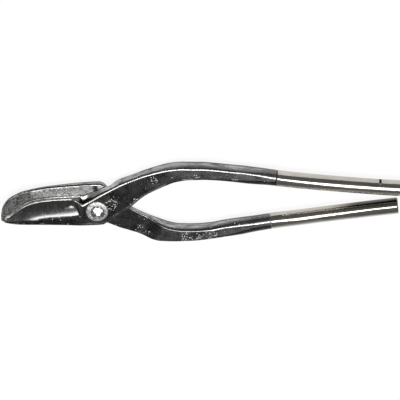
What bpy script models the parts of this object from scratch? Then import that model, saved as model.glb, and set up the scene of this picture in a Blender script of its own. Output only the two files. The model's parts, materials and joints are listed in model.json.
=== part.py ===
"""Tin snips with scooped, curved blades, shown closed.

Two forged levers cross in a half lap on a peened rivet. Each lever carries a
hard-steel plate on the inner face of its blade and a bright round bar as its
grip. The pivot axis is +Z through the origin, the blades point to -X and the
handles to +X. The flat of the rear rivet head lies on z = 0.

Run with: blender --background --python part.py
Lengths below are in millimetres and are turned into metres on the mesh.
"""
import math

import bmesh
import bpy

MM = 0.001

# Stack of the joint, measured from the plane where the two levers meet.
GAP = 0.3                  # clearance between two touching solids
HUB_THICK = 5.8            # outer face of each lever at the joint
ARM_HALF_HEIGHT = 6.0      # arms and grips reach this far to both sides
STEEL_THICK = 1.3          # hard-steel plate on each blade
WASHER_THICK = 1.4
WASHER_RADIUS = 8.35
RIVET_RADIUS = 4.6
HEAD_RADIUS = 5.3
DOME_HEIGHT = 1.9
DOME_SHIFT = (0.5, -0.7)   # the head was peened over a little off centre
REAR_HEAD_HEIGHT = 0.9
LAP_HEIGHT = HUB_THICK + 2 * GAP + WASHER_THICK + REAR_HEAD_HEIGHT  # lap above the floor

# Blades: flat to BOW_START from the pivot, then curved towards the front.
BOW_START = 36.0
BOW_END = 73.0
BOW_RISE = 3.0
SCOOP_END = (-14.2, -11.4)     # the hollow runs out between these two x
SCOOP_DEPTH = 1.25
SCOOP_ROUND = 4.5              # the hollow's heel end is rounded by this much
SPINE_FADE = (-24.0, -11.0)    # the blade's sloping spine levels out between these two x
STEEL_END = -12.5              # heel end of the hard-steel plates

# Handles.
FRONT_SEAM = 134.6
REAR_SEAM = 129.8
ARM_FILL = (36.0, 70.0)        # arms reach their full height between these two radii
GRIP_RADIUS = 6.0
FRONT_END = 228.6
REAR_END = 225.8
NOTCH_X = 212.0
NOTCH_WIDTH = 1.8
NOTCH_DEPTH = 1.2

RING_POINTS = 20               # points round each section of a lever
FACE_POINTS = 7                # of which these lie on each broad face
CORNER = 1.5                   # bevel along the arms

# Outlines of each lever as (x, y): "edge" is the side that holds the cutting
# edge and the outer side of the arm, "back" is the other one. The rear lever
# is drawn turned over, so both lists read the same way. "flare" is how far the
# foot of the edge side stands out past its top.
FRONT = {
    "edge": [(-70.6, -5.7), (-69.9, -4.3), (-68.4, -3.1), (-66.0, -1.9), (-62.5, 0.6),
             (-58.0, 4.0), (-52.0, 7.3), (-44.0, 9.4), (-36.0, 10.2), (-26.0, 10.6), (-18.0, 10.6),
             (-15.0, 9.9), (-12.6, 7.8), (-11.3, 6.6), (-10.5, 6.1), (-9.7, 6.5), (-6.0, 8.5),
             (0.0, 11.8),
             (8.5, 16.4), (18.0, 21.3), (27.3, 25.3), (36.7, 28.8), (46.2, 31.5),
             (55.6, 33.6), (66.0, 34.6), (78.4, 34.4), (90.7, 32.8), (103.1, 30.6),
             (115.0, 29.0), (126.0, 27.5), (138.0, 25.3)],
    "back": [(-70.6, -7.9), (-69.4, -8.4), (-65.0, -9.7), (-58.0, -10.9), (-43.0, -11.8),
             (-28.0, -12.4), (-13.0, -12.8), (0.0, -12.8), (4.0, -12.5), (7.5, -10.2),
             (16.5, -4.1), (25.5, 2.2), (32.5, 8.4), (38.7, 12.8), (44.8, 15.9),
             (52.0, 19.2), (60.0, 22.2), (70.0, 23.4), (80.0, 23.3), (92.0, 22.0),
             (103.0, 19.9), (115.0, 17.3), (126.0, 15.4), (138.0, 13.2)],
    "thick": [(-70.6, 2.2), (-66.0, 2.8), (-58.0, 3.7), (-45.0, 4.6), (-30.0, 5.2),
              (-12.0, HUB_THICK), (138.0, HUB_THICK)],
    "edge_thick": 3.7,
    "ridge": [(-70.6, -7.6), (-62.0, -7.9), (-49.0, -8.0), (-38.0, -6.9), (-28.0, -6.3),
              (-19.0, -5.9), (-12.0, -4.6), (0.0, -1.0)],
    "scoop": SCOOP_DEPTH,
    "flare": [(-16.5, 0.0), (-15.0, 0.4), (-14.0, 1.3), (-12.6, 3.2), (-10.4, 4.4), (-6.6, 3.9),
              (-2.0, 3.1), (3.2, 2.4), (7.0, 2.0), (9.8, 1.2), (18.0, 0.8), (27.0, 0.0)],
    "shoulder": (23.2, 31.0, 0.60),
    "lead": 3.0,
    "round_off": (105.0, 130.0),
    "seam": FRONT_SEAM,
    "grip": [(120.0, 22.3), (138.0, 19.25), (152.9, 16.8), (167.8, 14.6), (182.8, 12.6),
             (197.7, 10.7), (212.6, 8.9), (FRONT_END + 3.0, 6.9)],
    "end": FRONT_END,
    "bow": 1.0,
}
REAR = {
    "edge": [(-72.8, 6.1), (-72.0, 7.7), (-69.6, 8.4), (-62.0, 6.7), (-54.0, 4.9), (-44.0, 3.6),
             (-30.0, 2.6),
             (-19.0, 2.6), (-15.0, 3.6), (-10.4, 6.4), (-6.0, 8.6), (0.0, 11.4),
             (8.0, 14.7), (16.5, 18.9), (22.4, 21.1), (28.3, 23.4), (34.2, 25.4),
             (40.1, 27.3), (48.0, 28.5), (60.0, 29.2), (72.0, 29.1), (84.0, 28.2),
             (94.0, 27.3), (106.0, 26.6), (118.0, 24.9), (134.0, 22.6)],
    "back": [(-72.8, 5.1), (-72.3, 1.4), (-71.2, -3.0), (-69.0, -7.0), (-66.0, -10.2),
             (-62.0, -12.6),
             (-56.0, -15.0), (-48.0, -16.6), (-36.0, -18.2), (-20.0, -19.3), (-8.0, -19.5),
             (2.4, -19.6), (5.6, -18.3), (8.0, -15.4), (11.5, -12.4), (16.5, -6.8),
             (25.0, 2.4), (31.0, 6.4), (37.7, 10.2), (43.6, 13.0), (49.5, 15.6),
             (55.4, 17.6), (63.0, 18.9), (73.4, 19.2), (84.0, 18.4), (94.0, 16.4),
             (106.0, 14.4), (118.0, 12.8), (134.0, 10.6)],
    "thick": [(-72.8, 2.0), (-66.0, 2.5), (-58.0, 3.0), (-45.0, 3.7), (-28.0, 4.4),
              (-8.0, 5.5), (0.0, HUB_THICK), (138.0, HUB_THICK)],
    "edge_thick": 2.7,
    "ridge": [(-72.8, 5.5), (-66.0, 0.5), (-49.0, -4.5), (-35.0, -6.5), (-11.0, -7.5),
              (0.0, -2.0)],
    "scoop": 0.0,
    "flare": [(-16.0, 0.0), (27.0, 0.0)],
    "shoulder": (36.0, 54.0, 0.94),
    "lead": 0.0,
    "round_off": (88.0, 116.0),
    "seam": REAR_SEAM,
    "grip": [(118.0, 18.8), (134.0, 16.6), (151.6, 14.9), (166.7, 13.2), (181.8, 11.7),
             (196.9, 10.2), (211.9, 8.8), (REAR_END + 3.0, 7.3)],
    "end": REAR_END,
    "bow": -1.0,
}

# Where sections are cut along a lever: close together where its shape changes.
STATIONS = [-71.9, -70.2, -67.4, -64.4, -60.6, -56.0, -50.5, -44.5, -38.0, -31.0, -24.0, -19.0,
            -16.2, -14.4, -12.8, -11.6, -10.2, -7.5, -3.5, 0.5, 3.8, 6.4, 9.0, 12.0, 15.5,
            19.5, 23.5, 27.5, 31.5, 36.0, 41.0, 47.0, 54.0, 62.0, 71.0, 80.0, 88.0,
            95.0, 102.0, 110.0, 119.0]


def clear_scene():
    """Remove every object, so that the script can run in any open file."""
    for item in list(bpy.data.objects):
        bpy.data.objects.remove(item, do_unlink=True)


def principled(name, colour, roughness, metallic):
    """One Principled material."""
    material = bpy.data.materials.new(name)
    material.use_nodes = True
    shader = material.node_tree.nodes["Principled BSDF"]
    shader.inputs["Base Color"].default_value = (*colour, 1.0)
    shader.inputs["Roughness"].default_value = roughness
    shader.inputs["Metallic"].default_value = metallic
    material.diffuse_color = (*colour, 1.0)
    return material


def forged_black():
    """Black forge scale of the levers."""
    return principled("forged_black", (0.035, 0.035, 0.037), 0.42, 0.55)


def ground_steel():
    """Ground hard steel of the cutting plates."""
    return principled("ground_steel", (0.52, 0.52, 0.50), 0.38, 1.0)


def bright_steel():
    """Polished bar of the grips."""
    return principled("bright_steel", (0.56, 0.53, 0.49), 0.26, 1.0)


def pivot_steel():
    """Bare steel of the rivet and washers."""
    return principled("pivot_steel", (0.60, 0.60, 0.59), 0.34, 1.0)


def smoothstep(low, high, value):
    """0 at low, 1 at high, level at both ends."""
    t = min(1.0, max(0.0, (value - low) / (high - low)))
    return t * t * (3.0 - 2.0 * t)


def along(points, x):
    """Value at x of a smooth curve through the points (cubic, level at peaks)."""
    if x <= points[0][0]:
        return points[0][1]
    if x >= points[-1][0]:
        return points[-1][1]
    i = max(k for k in range(len(points) - 1) if points[k][0] <= x)
    (x0, y0), (x1, y1) = points[i], points[i + 1]
    span = x1 - x0
    t = (x - x0) / span
    m0 = tangent(points, i) * span
    m1 = tangent(points, i + 1) * span
    return (y0 * (2 * t**3 - 3 * t**2 + 1) + m0 * (t**3 - 2 * t**2 + t)
            + y1 * (3 * t**2 - 2 * t**3) + m1 * (t**3 - t**2))


def tangent(points, i):
    """Slope of the curve at point i, limited so that the curve never overshoots."""
    if i == 0 or i == len(points) - 1:
        j = min(i, len(points) - 2)
        return (points[j + 1][1] - points[j][1]) / (points[j + 1][0] - points[j][0])
    before = (points[i][1] - points[i - 1][1]) / (points[i][0] - points[i - 1][0])
    after = (points[i + 1][1] - points[i][1]) / (points[i + 1][0] - points[i][0])
    if before * after <= 0.0:
        return 0.0
    return 2.0 * before * after / (before + after)


def bow(lever, x, y):
    """Height of the blade's inner face: a function of the distance to the pivot."""
    reach = max(0.0, math.hypot(x, y) - BOW_START) / (BOW_END - BOW_START)
    return lever["bow"] * BOW_RISE * reach**2 if x < 0.0 else 0.0


def inner_height(lever, x, y):
    """Inner face: on the lap plane at the joint, then down a shoulder into the arm."""
    level = GAP / 2 + bow(lever, x, y)
    if x < STEEL_END:
        return level + STEEL_THICK + GAP
    if x < 0.0:
        return level
    start, end, share = lever["shoulder"]
    radius = math.hypot(x, y)
    early = radius + lever["lead"] * smoothstep(6.0, 14.0, y)
    drop = share * smoothstep(start, end, early) + (1.0 - share) * smoothstep(*ARM_FILL, radius)
    return level - drop * (ARM_HALF_HEIGHT + level)


def outer_height(lever, x, share):
    """Height of the outer face at a share (0 at the edge, 1 at the back)."""
    thick = along(lever["thick"], x)
    arm = smoothstep(20.0, 45.0, x)
    hub = thick + arm * (ARM_HALF_HEIGHT - HUB_THICK)
    if x >= SCOOP_END[1]:
        return hub
    y_edge = along(lever["edge"], x)
    y_back = along(lever["back"], x)
    ridge = (y_edge - along(lever["ridge"], x)) / max(0.1, y_edge - y_back)
    if share >= ridge:
        fall = 0.12 * thick * ((share - ridge) / (1.0 - ridge)) ** 2
        return thick - fall * (1.0 - smoothstep(*SPINE_FADE, x))
    thin = min(lever["edge_thick"], 0.88 * thick)
    t = share / ridge
    hollow = lever["scoop"] * smoothstep(-60.0, -42.0, x) * 4.0 * t * (1.0 - t) ** 0.5
    blade = thin + (thick - thin) * t - hollow * 0.55
    back_off = SCOOP_ROUND * (1.0 - t) ** 2
    return blade + (hub - blade) * smoothstep(SCOOP_END[0] - back_off, SCOOP_END[1] - back_off, x)


def face_shares(lever, x):
    """Where the points of the broad outer face stand across the lever."""
    even = [k / (FACE_POINTS - 1) for k in range(FACE_POINTS)]
    if x >= 0.0:
        return even
    y_edge = along(lever["edge"], x)
    y_back = along(lever["back"], x)
    ridge = (y_edge - along(lever["ridge"], x)) / max(0.1, y_edge - y_back)
    blade = [ridge * k / 4 for k in range(5)] + [(1.0 + ridge) / 2, 1.0]
    mix = smoothstep(-8.0, 0.0, x)
    return [a + (b - a) * mix for a, b in zip(blade, even)]


def lever_ring(lever, x):
    """One closed section of a lever: outer face, back, inner face, edge side."""
    y_edge = along(lever["edge"], x)
    y_back = along(lever["back"], x)
    y_foot = y_edge + along(lever["flare"], x)
    width = y_edge - y_back
    bevel = min(CORNER, width * 0.12)
    top_e = y_edge - bevel
    top_b = y_back + bevel
    squared = []
    for share in face_shares(lever, x):
        y = top_e + (top_b - top_e) * share
        lift = bow(lever, x, y)
        squared.append((y, outer_height(lever, x, share) + lift))
    back_z = (squared[-1][1], inner_height(lever, x, y_back))
    edge_z = (inner_height(lever, x, y_foot), squared[0][1])
    rise = min(bevel, (back_z[0] - back_z[1]) * 0.3)
    squared += [(y_back, back_z[0] - rise), (y_back, (back_z[0] + back_z[1]) / 2),
                (y_back, back_z[1] + rise)]
    low_b = y_back + rise * 0.6
    low_e = y_foot - rise * 0.6
    for k in range(FACE_POINTS):
        y = low_b + (low_e - low_b) * k / (FACE_POINTS - 1)
        squared.append((y, inner_height(lever, x, y)))
    rise = min(bevel, (edge_z[1] - edge_z[0]) * 0.3)
    squared += [(y_foot, edge_z[0] + rise),
                ((y_foot + y_edge) / 2, (edge_z[0] + edge_z[1]) / 2), (y_edge, edge_z[1] - rise)]

    turn = smoothstep(*lever["round_off"], x)
    middle = (y_edge + y_back) / 2
    ring = []
    for k, (y, z) in enumerate(squared):
        angle = math.radians(36.0 + 360.0 / RING_POINTS * k)
        y_round = middle + width / 2 * math.cos(angle)
        z_round = ARM_HALF_HEIGHT * math.sin(angle)
        y_mix = y + (y_round - y) * turn
        z_mix = z + (z_round - z) * turn
        lean = (y_mix - middle) * slope(lever, x) * smoothstep(80.0, 120.0, x)
        ring.append((x - lean, y_mix, z_mix))
    return ring


def slope(lever, x):
    """Direction of the arm's middle line at x."""
    step = 2.0
    a = along(lever["edge"], x - step) + along(lever["back"], x - step)
    b = along(lever["edge"], x + step) + along(lever["back"], x + step)
    return (b - a) / (4.0 * step)


def grip_ring(lever, x, radius, inset=0.0):
    """One round section of a grip, square to its middle line."""
    middle = along(lever["grip"], x)
    tilt = (along(lever["grip"], x + 2.0) - along(lever["grip"], x - 2.0)) / 4.0
    stretch = math.sqrt(1.0 + tilt * tilt)
    ring = []
    for k in range(RING_POINTS):
        angle = math.radians(36.0 + 360.0 / RING_POINTS * k)
        across = (radius - inset) * math.cos(angle)
        ring.append((x - across * tilt / stretch, middle + across / stretch,
                     (radius - inset) * math.sin(angle)))
    return ring


def turned_over(rings):
    """The same rings turned half round the X axis, for the rear lever."""
    return [[(x, -y, -z) for x, y, z in ring] for ring in rings]


def loft(name, rings, material, smooth_angle=40.0):
    """Closed mesh through rings of equal point counts, capped at both ends."""
    mesh = bpy.data.meshes.new(name)
    bm = bmesh.new()
    rows = [[bm.verts.new((x * MM, y * MM, (z + LAP_HEIGHT) * MM)) for x, y, z in ring]
            for ring in rings]
    count = len(rings[0])
    for row, following in zip(rows, rows[1:]):
        for k in range(count):
            n = (k + 1) % count
            bm.faces.new((row[k], row[n], following[n], following[k]))
    bm.faces.new(rows[0][::-1])
    bm.faces.new(rows[-1])
    bmesh.ops.recalc_face_normals(bm, faces=bm.faces)
    for face in bm.faces:
        face.smooth = True
    bm.to_mesh(mesh)
    bm.free()
    mesh.set_sharp_from_angle(angle=math.radians(smooth_angle))
    mesh.materials.append(material)
    item = bpy.data.objects.new(name, mesh)
    bpy.context.scene.collection.objects.link(item)
    return item


def lathe(name, profile, material, segments=40):
    """Closed solid of revolution about the pivot axis from (radius, height) pairs."""
    mesh = bpy.data.meshes.new(name)
    bm = bmesh.new()
    rows = []
    for radius, height in profile:
        if radius == 0.0:
            rows.append([bm.verts.new((0.0, 0.0, (height + LAP_HEIGHT) * MM))])
            continue
        row = []
        for k in range(segments):
            angle = 2.0 * math.pi * k / segments
            row.append(bm.verts.new((radius * math.cos(angle) * MM,
                                     radius * math.sin(angle) * MM,
                                     (height + LAP_HEIGHT) * MM)))
        rows.append(row)
    closed = profile[0][0] > 0.0
    pairs = list(zip(rows, rows[1:])) + ([(rows[-1], rows[0])] if closed else [])
    for row, following in pairs:
        for k in range(segments):
            n = (k + 1) % segments
            corners = [row[k % len(row)], row[n % len(row)],
                       following[n % len(following)], following[k % len(following)]]
            bm.faces.new(list(dict.fromkeys(corners)))
    bmesh.ops.recalc_face_normals(bm, faces=bm.faces)
    for face in bm.faces:
        face.smooth = True
    bm.to_mesh(mesh)
    bm.free()
    mesh.set_sharp_from_angle(angle=math.radians(40.0))
    mesh.materials.append(material)
    item = bpy.data.objects.new(name, mesh)
    bpy.context.scene.collection.objects.link(item)
    return item


def cut(target, cutter):
    """Subtract the cutter from the target with an exact boolean and apply it."""
    cutter.hide_render = True
    cutter.display_type = 'WIRE'
    modifier = target.modifiers.new("cut", 'BOOLEAN')
    modifier.operation = 'DIFFERENCE'
    modifier.solver = 'EXACT'
    modifier.object = cutter
    bpy.context.view_layer.update()
    graph = bpy.context.evaluated_depsgraph_get()
    result = bpy.data.meshes.new_from_object(target.evaluated_get(graph))
    result.name = target.name
    target.modifiers.clear()
    target.data = result
    bpy.data.objects.remove(cutter, do_unlink=True)


def make_lever(name, lever, material):
    """A forged lever: blade, half of the lap joint, arm, with the rivet hole."""
    tip = lever["edge"][0][0] + 0.5
    stations = [tip] + [s for s in STATIONS if s > tip + 0.5] + [lever["seam"] - GAP / 2]
    rings = [lever_ring(lever, x) for x in stations]
    if lever is REAR:
        rings = turned_over(rings)
    item = loft(name, rings, material, smooth_angle=32.0)
    hole = RIVET_RADIUS + GAP
    drill = lathe(name + "_drill", [(0.0, -30.0), (hole, -30.0), (hole, 30.0), (0.0, 30.0)],
                  material)
    cut(item, drill)
    return item


def make_edge_steel(name, lever, material):
    """Hard-steel plate on the inner face of a blade, sharp along the cutting edge."""
    tip = lever["edge"][0][0]
    rings = []
    blade = [s for s in STATIONS if tip + 0.5 < s < STEEL_END - 1.0]
    for x in [tip] + blade + [STEEL_END - GAP]:
        y_edge = along(lever["edge"], x) + along(lever["flare"], x)
        width = y_edge - along(lever["back"], x)
        y_back = y_edge - width + min(0.25, width * 0.1)
        across = [y_back + (y_edge - y_back) * k / 6 for k in range(7)]
        low = [(x, y, bow(lever, x, y) + GAP / 2) for y in across]
        across[-1] = y_edge - min(0.35, width * 0.1)
        high = [(x, y, bow(lever, x, y) + GAP / 2 + STEEL_THICK) for y in across]
        rings.append(low + high[::-1])
    if lever is REAR:
        rings = turned_over(rings)
    return loft(name, rings, material, smooth_angle=25.0)


def make_grip(name, lever, material):
    """Round bar that continues an arm, with a small notch near its end."""
    start = lever["seam"] + GAP / 2
    end = lever["end"]
    stations = [start + (end - 1.2 - start) * k / 8 for k in range(9)]
    rings = [grip_ring(lever, x, GRIP_RADIUS) for x in stations]
    rings.append(grip_ring(lever, end - 0.4, GRIP_RADIUS, 0.35))
    rings.append(grip_ring(lever, end, GRIP_RADIUS, 1.1))
    if lever is REAR:
        rings = turned_over(rings)
    item = loft(name, rings, material)
    side = -1.0 if lever is REAR else 1.0
    floor = along(lever["grip"], NOTCH_X) + GRIP_RADIUS - NOTCH_DEPTH
    low, high = floor * side, (floor + 8.0) * side
    half = NOTCH_WIDTH / 2
    notch = loft(name + "_notch",
                 [[(x, low, -9.0), (x, high, -9.0), (x, high, 9.0), (x, low, 9.0)]
                  for x in (NOTCH_X - half, NOTCH_X + half)], material)
    cut(item, notch)
    return item


def make_washer(name, material, side):
    """Bevelled washer on the outer face of a lever; side is +1 front, -1 rear."""
    inner = RIVET_RADIUS + GAP
    base = HUB_THICK + GAP
    top = base + WASHER_THICK
    profile = [(inner, base), (WASHER_RADIUS, base), (WASHER_RADIUS, top - 0.45),
               (WASHER_RADIUS - 0.6, top), (inner, top)]
    return lathe(name, [(r, side * z) for r, z in profile], material)


def make_rivet(material):
    """Rivet through the joint: peened dome at the front, flat head at the rear."""
    seat = HUB_THICK + 2 * GAP + WASHER_THICK
    dome = [(HEAD_RADIUS, seat), (HEAD_RADIUS, seat + 0.5)]
    for k in range(1, 6):
        angle = math.radians(15.0 * k + 5.0)
        dome.append((HEAD_RADIUS * math.cos(angle),
                     seat + 0.5 + (DOME_HEIGHT - 0.5) * math.sin(angle)))
    floor = -(seat + REAR_HEAD_HEIGHT)
    profile = [(0.0, floor), (HEAD_RADIUS - 0.7, floor), (HEAD_RADIUS, floor + 0.5),
               (HEAD_RADIUS, -seat), (RIVET_RADIUS, -seat), (RIVET_RADIUS, seat)]
    rivet = lathe("pivot_rivet", profile + dome + [(0.0, seat + DOME_HEIGHT)], material)
    for vertex in rivet.data.vertices:
        if vertex.co.z > (LAP_HEIGHT + seat + 0.1) * MM:
            vertex.co.x += DOME_SHIFT[0] * MM
            vertex.co.y += DOME_SHIFT[1] * MM
    return rivet


def main():
    clear_scene()
    black = forged_black()
    ground = ground_steel()
    bright = bright_steel()
    bare = pivot_steel()
    front = [make_lever("front_lever", FRONT, black),
             make_edge_steel("front_edge_steel", FRONT, ground),
             make_grip("front_grip", FRONT, bright)]
    rear = [make_lever("rear_lever", REAR, black),
            make_edge_steel("rear_edge_steel", REAR, ground),
            make_grip("rear_grip", REAR, bright),
            make_rivet(bare),
            make_washer("front_washer", bare, 1.0),
            make_washer("rear_washer", bare, -1.0)]
    for name, pieces in (("front_half", front), ("rear_half", rear)):
        pivot = bpy.data.objects.new(name, None)
        pivot.location = (0.0, 0.0, LAP_HEIGHT * MM)
        bpy.context.scene.collection.objects.link(pivot)
        bpy.context.view_layer.update()
        for item in pieces:
            item.parent = pivot
            item.matrix_parent_inverse = pivot.matrix_world.inverted()


main()
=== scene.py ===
"""Looks for the forged tin snips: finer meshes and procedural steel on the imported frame.

Lengths inside the shape functions are millimetres measured from the pivot axis and the plane
where the two levers meet; build() turns them into metres in the frame's own coordinates.
The rear lever is drawn turned over, so that both levers share every function.
"""

import json
import math

import bmesh
import bpy
from mathutils import Matrix, Vector, noise


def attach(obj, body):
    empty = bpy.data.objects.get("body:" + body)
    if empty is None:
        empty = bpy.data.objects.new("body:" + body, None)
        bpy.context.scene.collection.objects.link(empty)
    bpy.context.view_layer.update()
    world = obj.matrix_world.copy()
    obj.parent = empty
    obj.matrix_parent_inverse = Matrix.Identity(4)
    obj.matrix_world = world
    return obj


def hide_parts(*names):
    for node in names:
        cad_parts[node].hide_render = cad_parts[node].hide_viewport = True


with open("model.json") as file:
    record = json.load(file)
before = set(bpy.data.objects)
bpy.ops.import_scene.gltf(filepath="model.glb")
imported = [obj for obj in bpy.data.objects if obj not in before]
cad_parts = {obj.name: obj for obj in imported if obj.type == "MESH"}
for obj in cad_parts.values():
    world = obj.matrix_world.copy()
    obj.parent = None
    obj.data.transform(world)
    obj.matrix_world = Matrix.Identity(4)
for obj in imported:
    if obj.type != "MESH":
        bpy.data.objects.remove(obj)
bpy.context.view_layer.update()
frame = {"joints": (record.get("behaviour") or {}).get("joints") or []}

MM = 0.001
PIVOT_Z = frame["joints"][0]["pos_m"][2] / MM     # height of the lap plane above the floor

# ---------------------------------------------------------------- driving sizes (mm)
LAP_GAP = 0.15                 # half of the clearance between the two levers
HUB_THICK = 5.8                # a lever's thickness at the lap joint
HUB_TO_ARM = (20.0, 45.0)      # the outer face rises from the hub to the arm between these
ARM_HALF_HEIGHT = 6.0
STEEL_THICK = 1.3              # hard-steel plate on the blade's inner face
BOW_START, BOW_END, BOW_RISE = 36.0, 73.0, 3.0
SCOOP_START = (-60.0, -42.0)   # the hollow deepens between these
SCOOP_END = (-14.2, -11.4)
SCOOP_ROUND = 4.5              # the hollow's heel end is rounded by this much
SPINE_FALL = 0.12              # the blade's spine slopes down by this share of its thickness
SPINE_FADE = (-24.0, -11.0)
STEEL_END = -12.5
SEAM_GROOVE = 0.60             # width of the groove between arm and grip
GRIP_RADIUS = 6.0
GRIP_END_ROUND = 1.3
NOTCH_X, NOTCH_WIDTH, NOTCH_DEPTH = 212.0, 1.8, 1.2
RIVET_RADIUS, HEAD_RADIUS, DOME_HEIGHT = 4.6, 5.3, 1.9
HEAD_GAP = 0.3                 # between a washer and the rivet's head
BORE_GAP = 0.25                # between the rivet and the levers' holes
DOME_SHIFT = (0.5, -0.7)       # the head was peened over a little off centre
WASHER_RADIUS, WASHER_THICK, WASHER_GAP = 8.35, 1.4, 0.3
DOME_RIM = 0.25                # the dome starts this far above its seat
STRUCK_RIM = 0.2               # hammer blows reach down to this height above the seat
REAR_HEAD_HEIGHT = 0.9
SEAM_TIGHT = 2.2               # tighter corner radius of arms and grips where they meet

# Each lever's tables give a value by x. edge and back are its outline on the cutting and the
# spine side, thick its forging, ridge the line between hollow and spine, flare how far the inner
# face reaches past the edge, grip the bar's middle line and roundness how round the bar is.
# shoulder is (start, end, share of the drop) and lead draws it forward on the edge side;
# corners, outline and tight are corner radii; filed strips are worn bright; pitted spots are
# (x, y, radius). The seam is where the grip starts.
FRONT = {
    "turned": 1.0,                 # -1 for the lever that is drawn turned over
    "edge": [(-70.6, -5.7), (-69.9, -4.3), (-68.4, -3.1), (-66.0, -1.9), (-62.5, 0.6),
             (-58.0, 4.0), (-52.0, 7.3), (-44.0, 9.4), (-36.0, 10.2), (-26.0, 10.6), (-18.0, 10.6),
             (-15.0, 9.9), (-12.6, 7.8), (-11.3, 6.6), (-10.5, 6.1), (-9.7, 6.5), (-6.0, 8.5),
             (0.0, 11.8), (8.5, 16.4), (18.0, 21.3), (27.3, 25.3), (36.7, 28.8), (46.2, 31.5),
             (55.6, 33.6), (66.0, 34.6), (78.4, 34.4), (90.7, 32.8), (103.1, 30.6),
             (115.0, 29.0), (126.0, 27.5), (138.0, 25.3)],
    "back": [(-70.6, -7.9), (-69.4, -8.4), (-65.0, -9.7), (-58.0, -10.9), (-43.0, -11.8),
             (-28.0, -12.4), (-13.0, -12.8), (0.0, -12.8), (4.0, -12.5), (7.5, -10.2),
             (16.5, -4.1), (25.5, 2.2), (32.5, 8.4), (38.7, 12.8), (44.8, 15.9),
             (52.0, 19.2), (60.0, 22.2), (70.0, 23.4), (80.0, 23.3), (92.0, 22.0),
             (103.0, 19.9), (115.0, 17.3), (126.0, 15.4), (138.0, 13.2)],
    "thick": [(-70.6, 2.2), (-66.0, 2.8), (-58.0, 3.7), (-45.0, 4.6), (-30.0, 5.2),
              (-12.0, HUB_THICK), (138.0, HUB_THICK)],
    "edge_thick": 3.7,
    "ridge": [(-70.6, -7.6), (-62.0, -7.9), (-49.0, -8.0), (-38.0, -6.9), (-28.0, -6.3),
              (-19.0, -5.9), (-12.0, -4.6), (0.0, -1.0)],
    "scoop": 1.25,
    "flare": [(-16.5, 0.0), (-15.0, 0.4), (-14.0, 1.3), (-12.6, 3.2), (-10.4, 4.4), (-6.6, 3.9),
              (-2.0, 3.1), (3.2, 2.4), (7.0, 2.0), (9.8, 1.2), (18.0, 0.8), (27.0, 0.0)],
    "shoulder": (22.8, 31.0, 0.60),
    "lead": 3.0,
    "corners": [(20.0, 0.8), (48.0, 1.3), (62.0, 2.4), (77.0, 3.8), (92.0, 3.6),
                (107.0, 3.2), (120.0, 4.6), (130.0, 6.0)],
    "outline": [(4.0, 1.4), (40.0, 0.8), (80.0, 0.8), (92.0, 1.4), (107.0, 3.2),
                (120.0, 4.6), (130.0, 6.0)],
    "tight": [(-72.0, 0.2), (-9.0, 0.4), (20.0, 0.5), (60.0, 0.6), (100.0, 0.9), (118.0, 1.4),
              (132.0, SEAM_TIGHT)],
    "filed": [(-70.0, 0.4), (-67.0, 0.4), (-63.0, 0.1), (-52.0, 0.2), (-16.0, 0.28),
              (-12.0, 0.5), (-9.0, 0.8), (12.0, 0.6), (30.0, 0.32), (80.0, 0.25),
              (100.0, 0.1), (110.0, 0.0)],
    "filed_low": [(26.0, 0.0), (34.0, 0.3), (80.0, 0.25), (100.0, 0.0)],
    "pitted": [(11.0, 5.5, 6.5), (44.0, 25.0, 4.0), (75.5, 27.2, 3.0), (29.5, 8.4, 2.4)],
    "roundness": [(124.6, 0.0), (150.0, 0.5), (184.6, 1.0)],
    "seam": 134.6,
    "seam_darkness": 1.0,
    "grip": [(120.0, 22.3), (138.0, 19.25), (152.9, 16.8), (167.8, 14.6), (182.8, 12.6),
             (197.7, 10.7), (212.6, 8.9), (231.6, 6.9)],
    "end": 228.6,
    "seed": 3.0,
}
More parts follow.
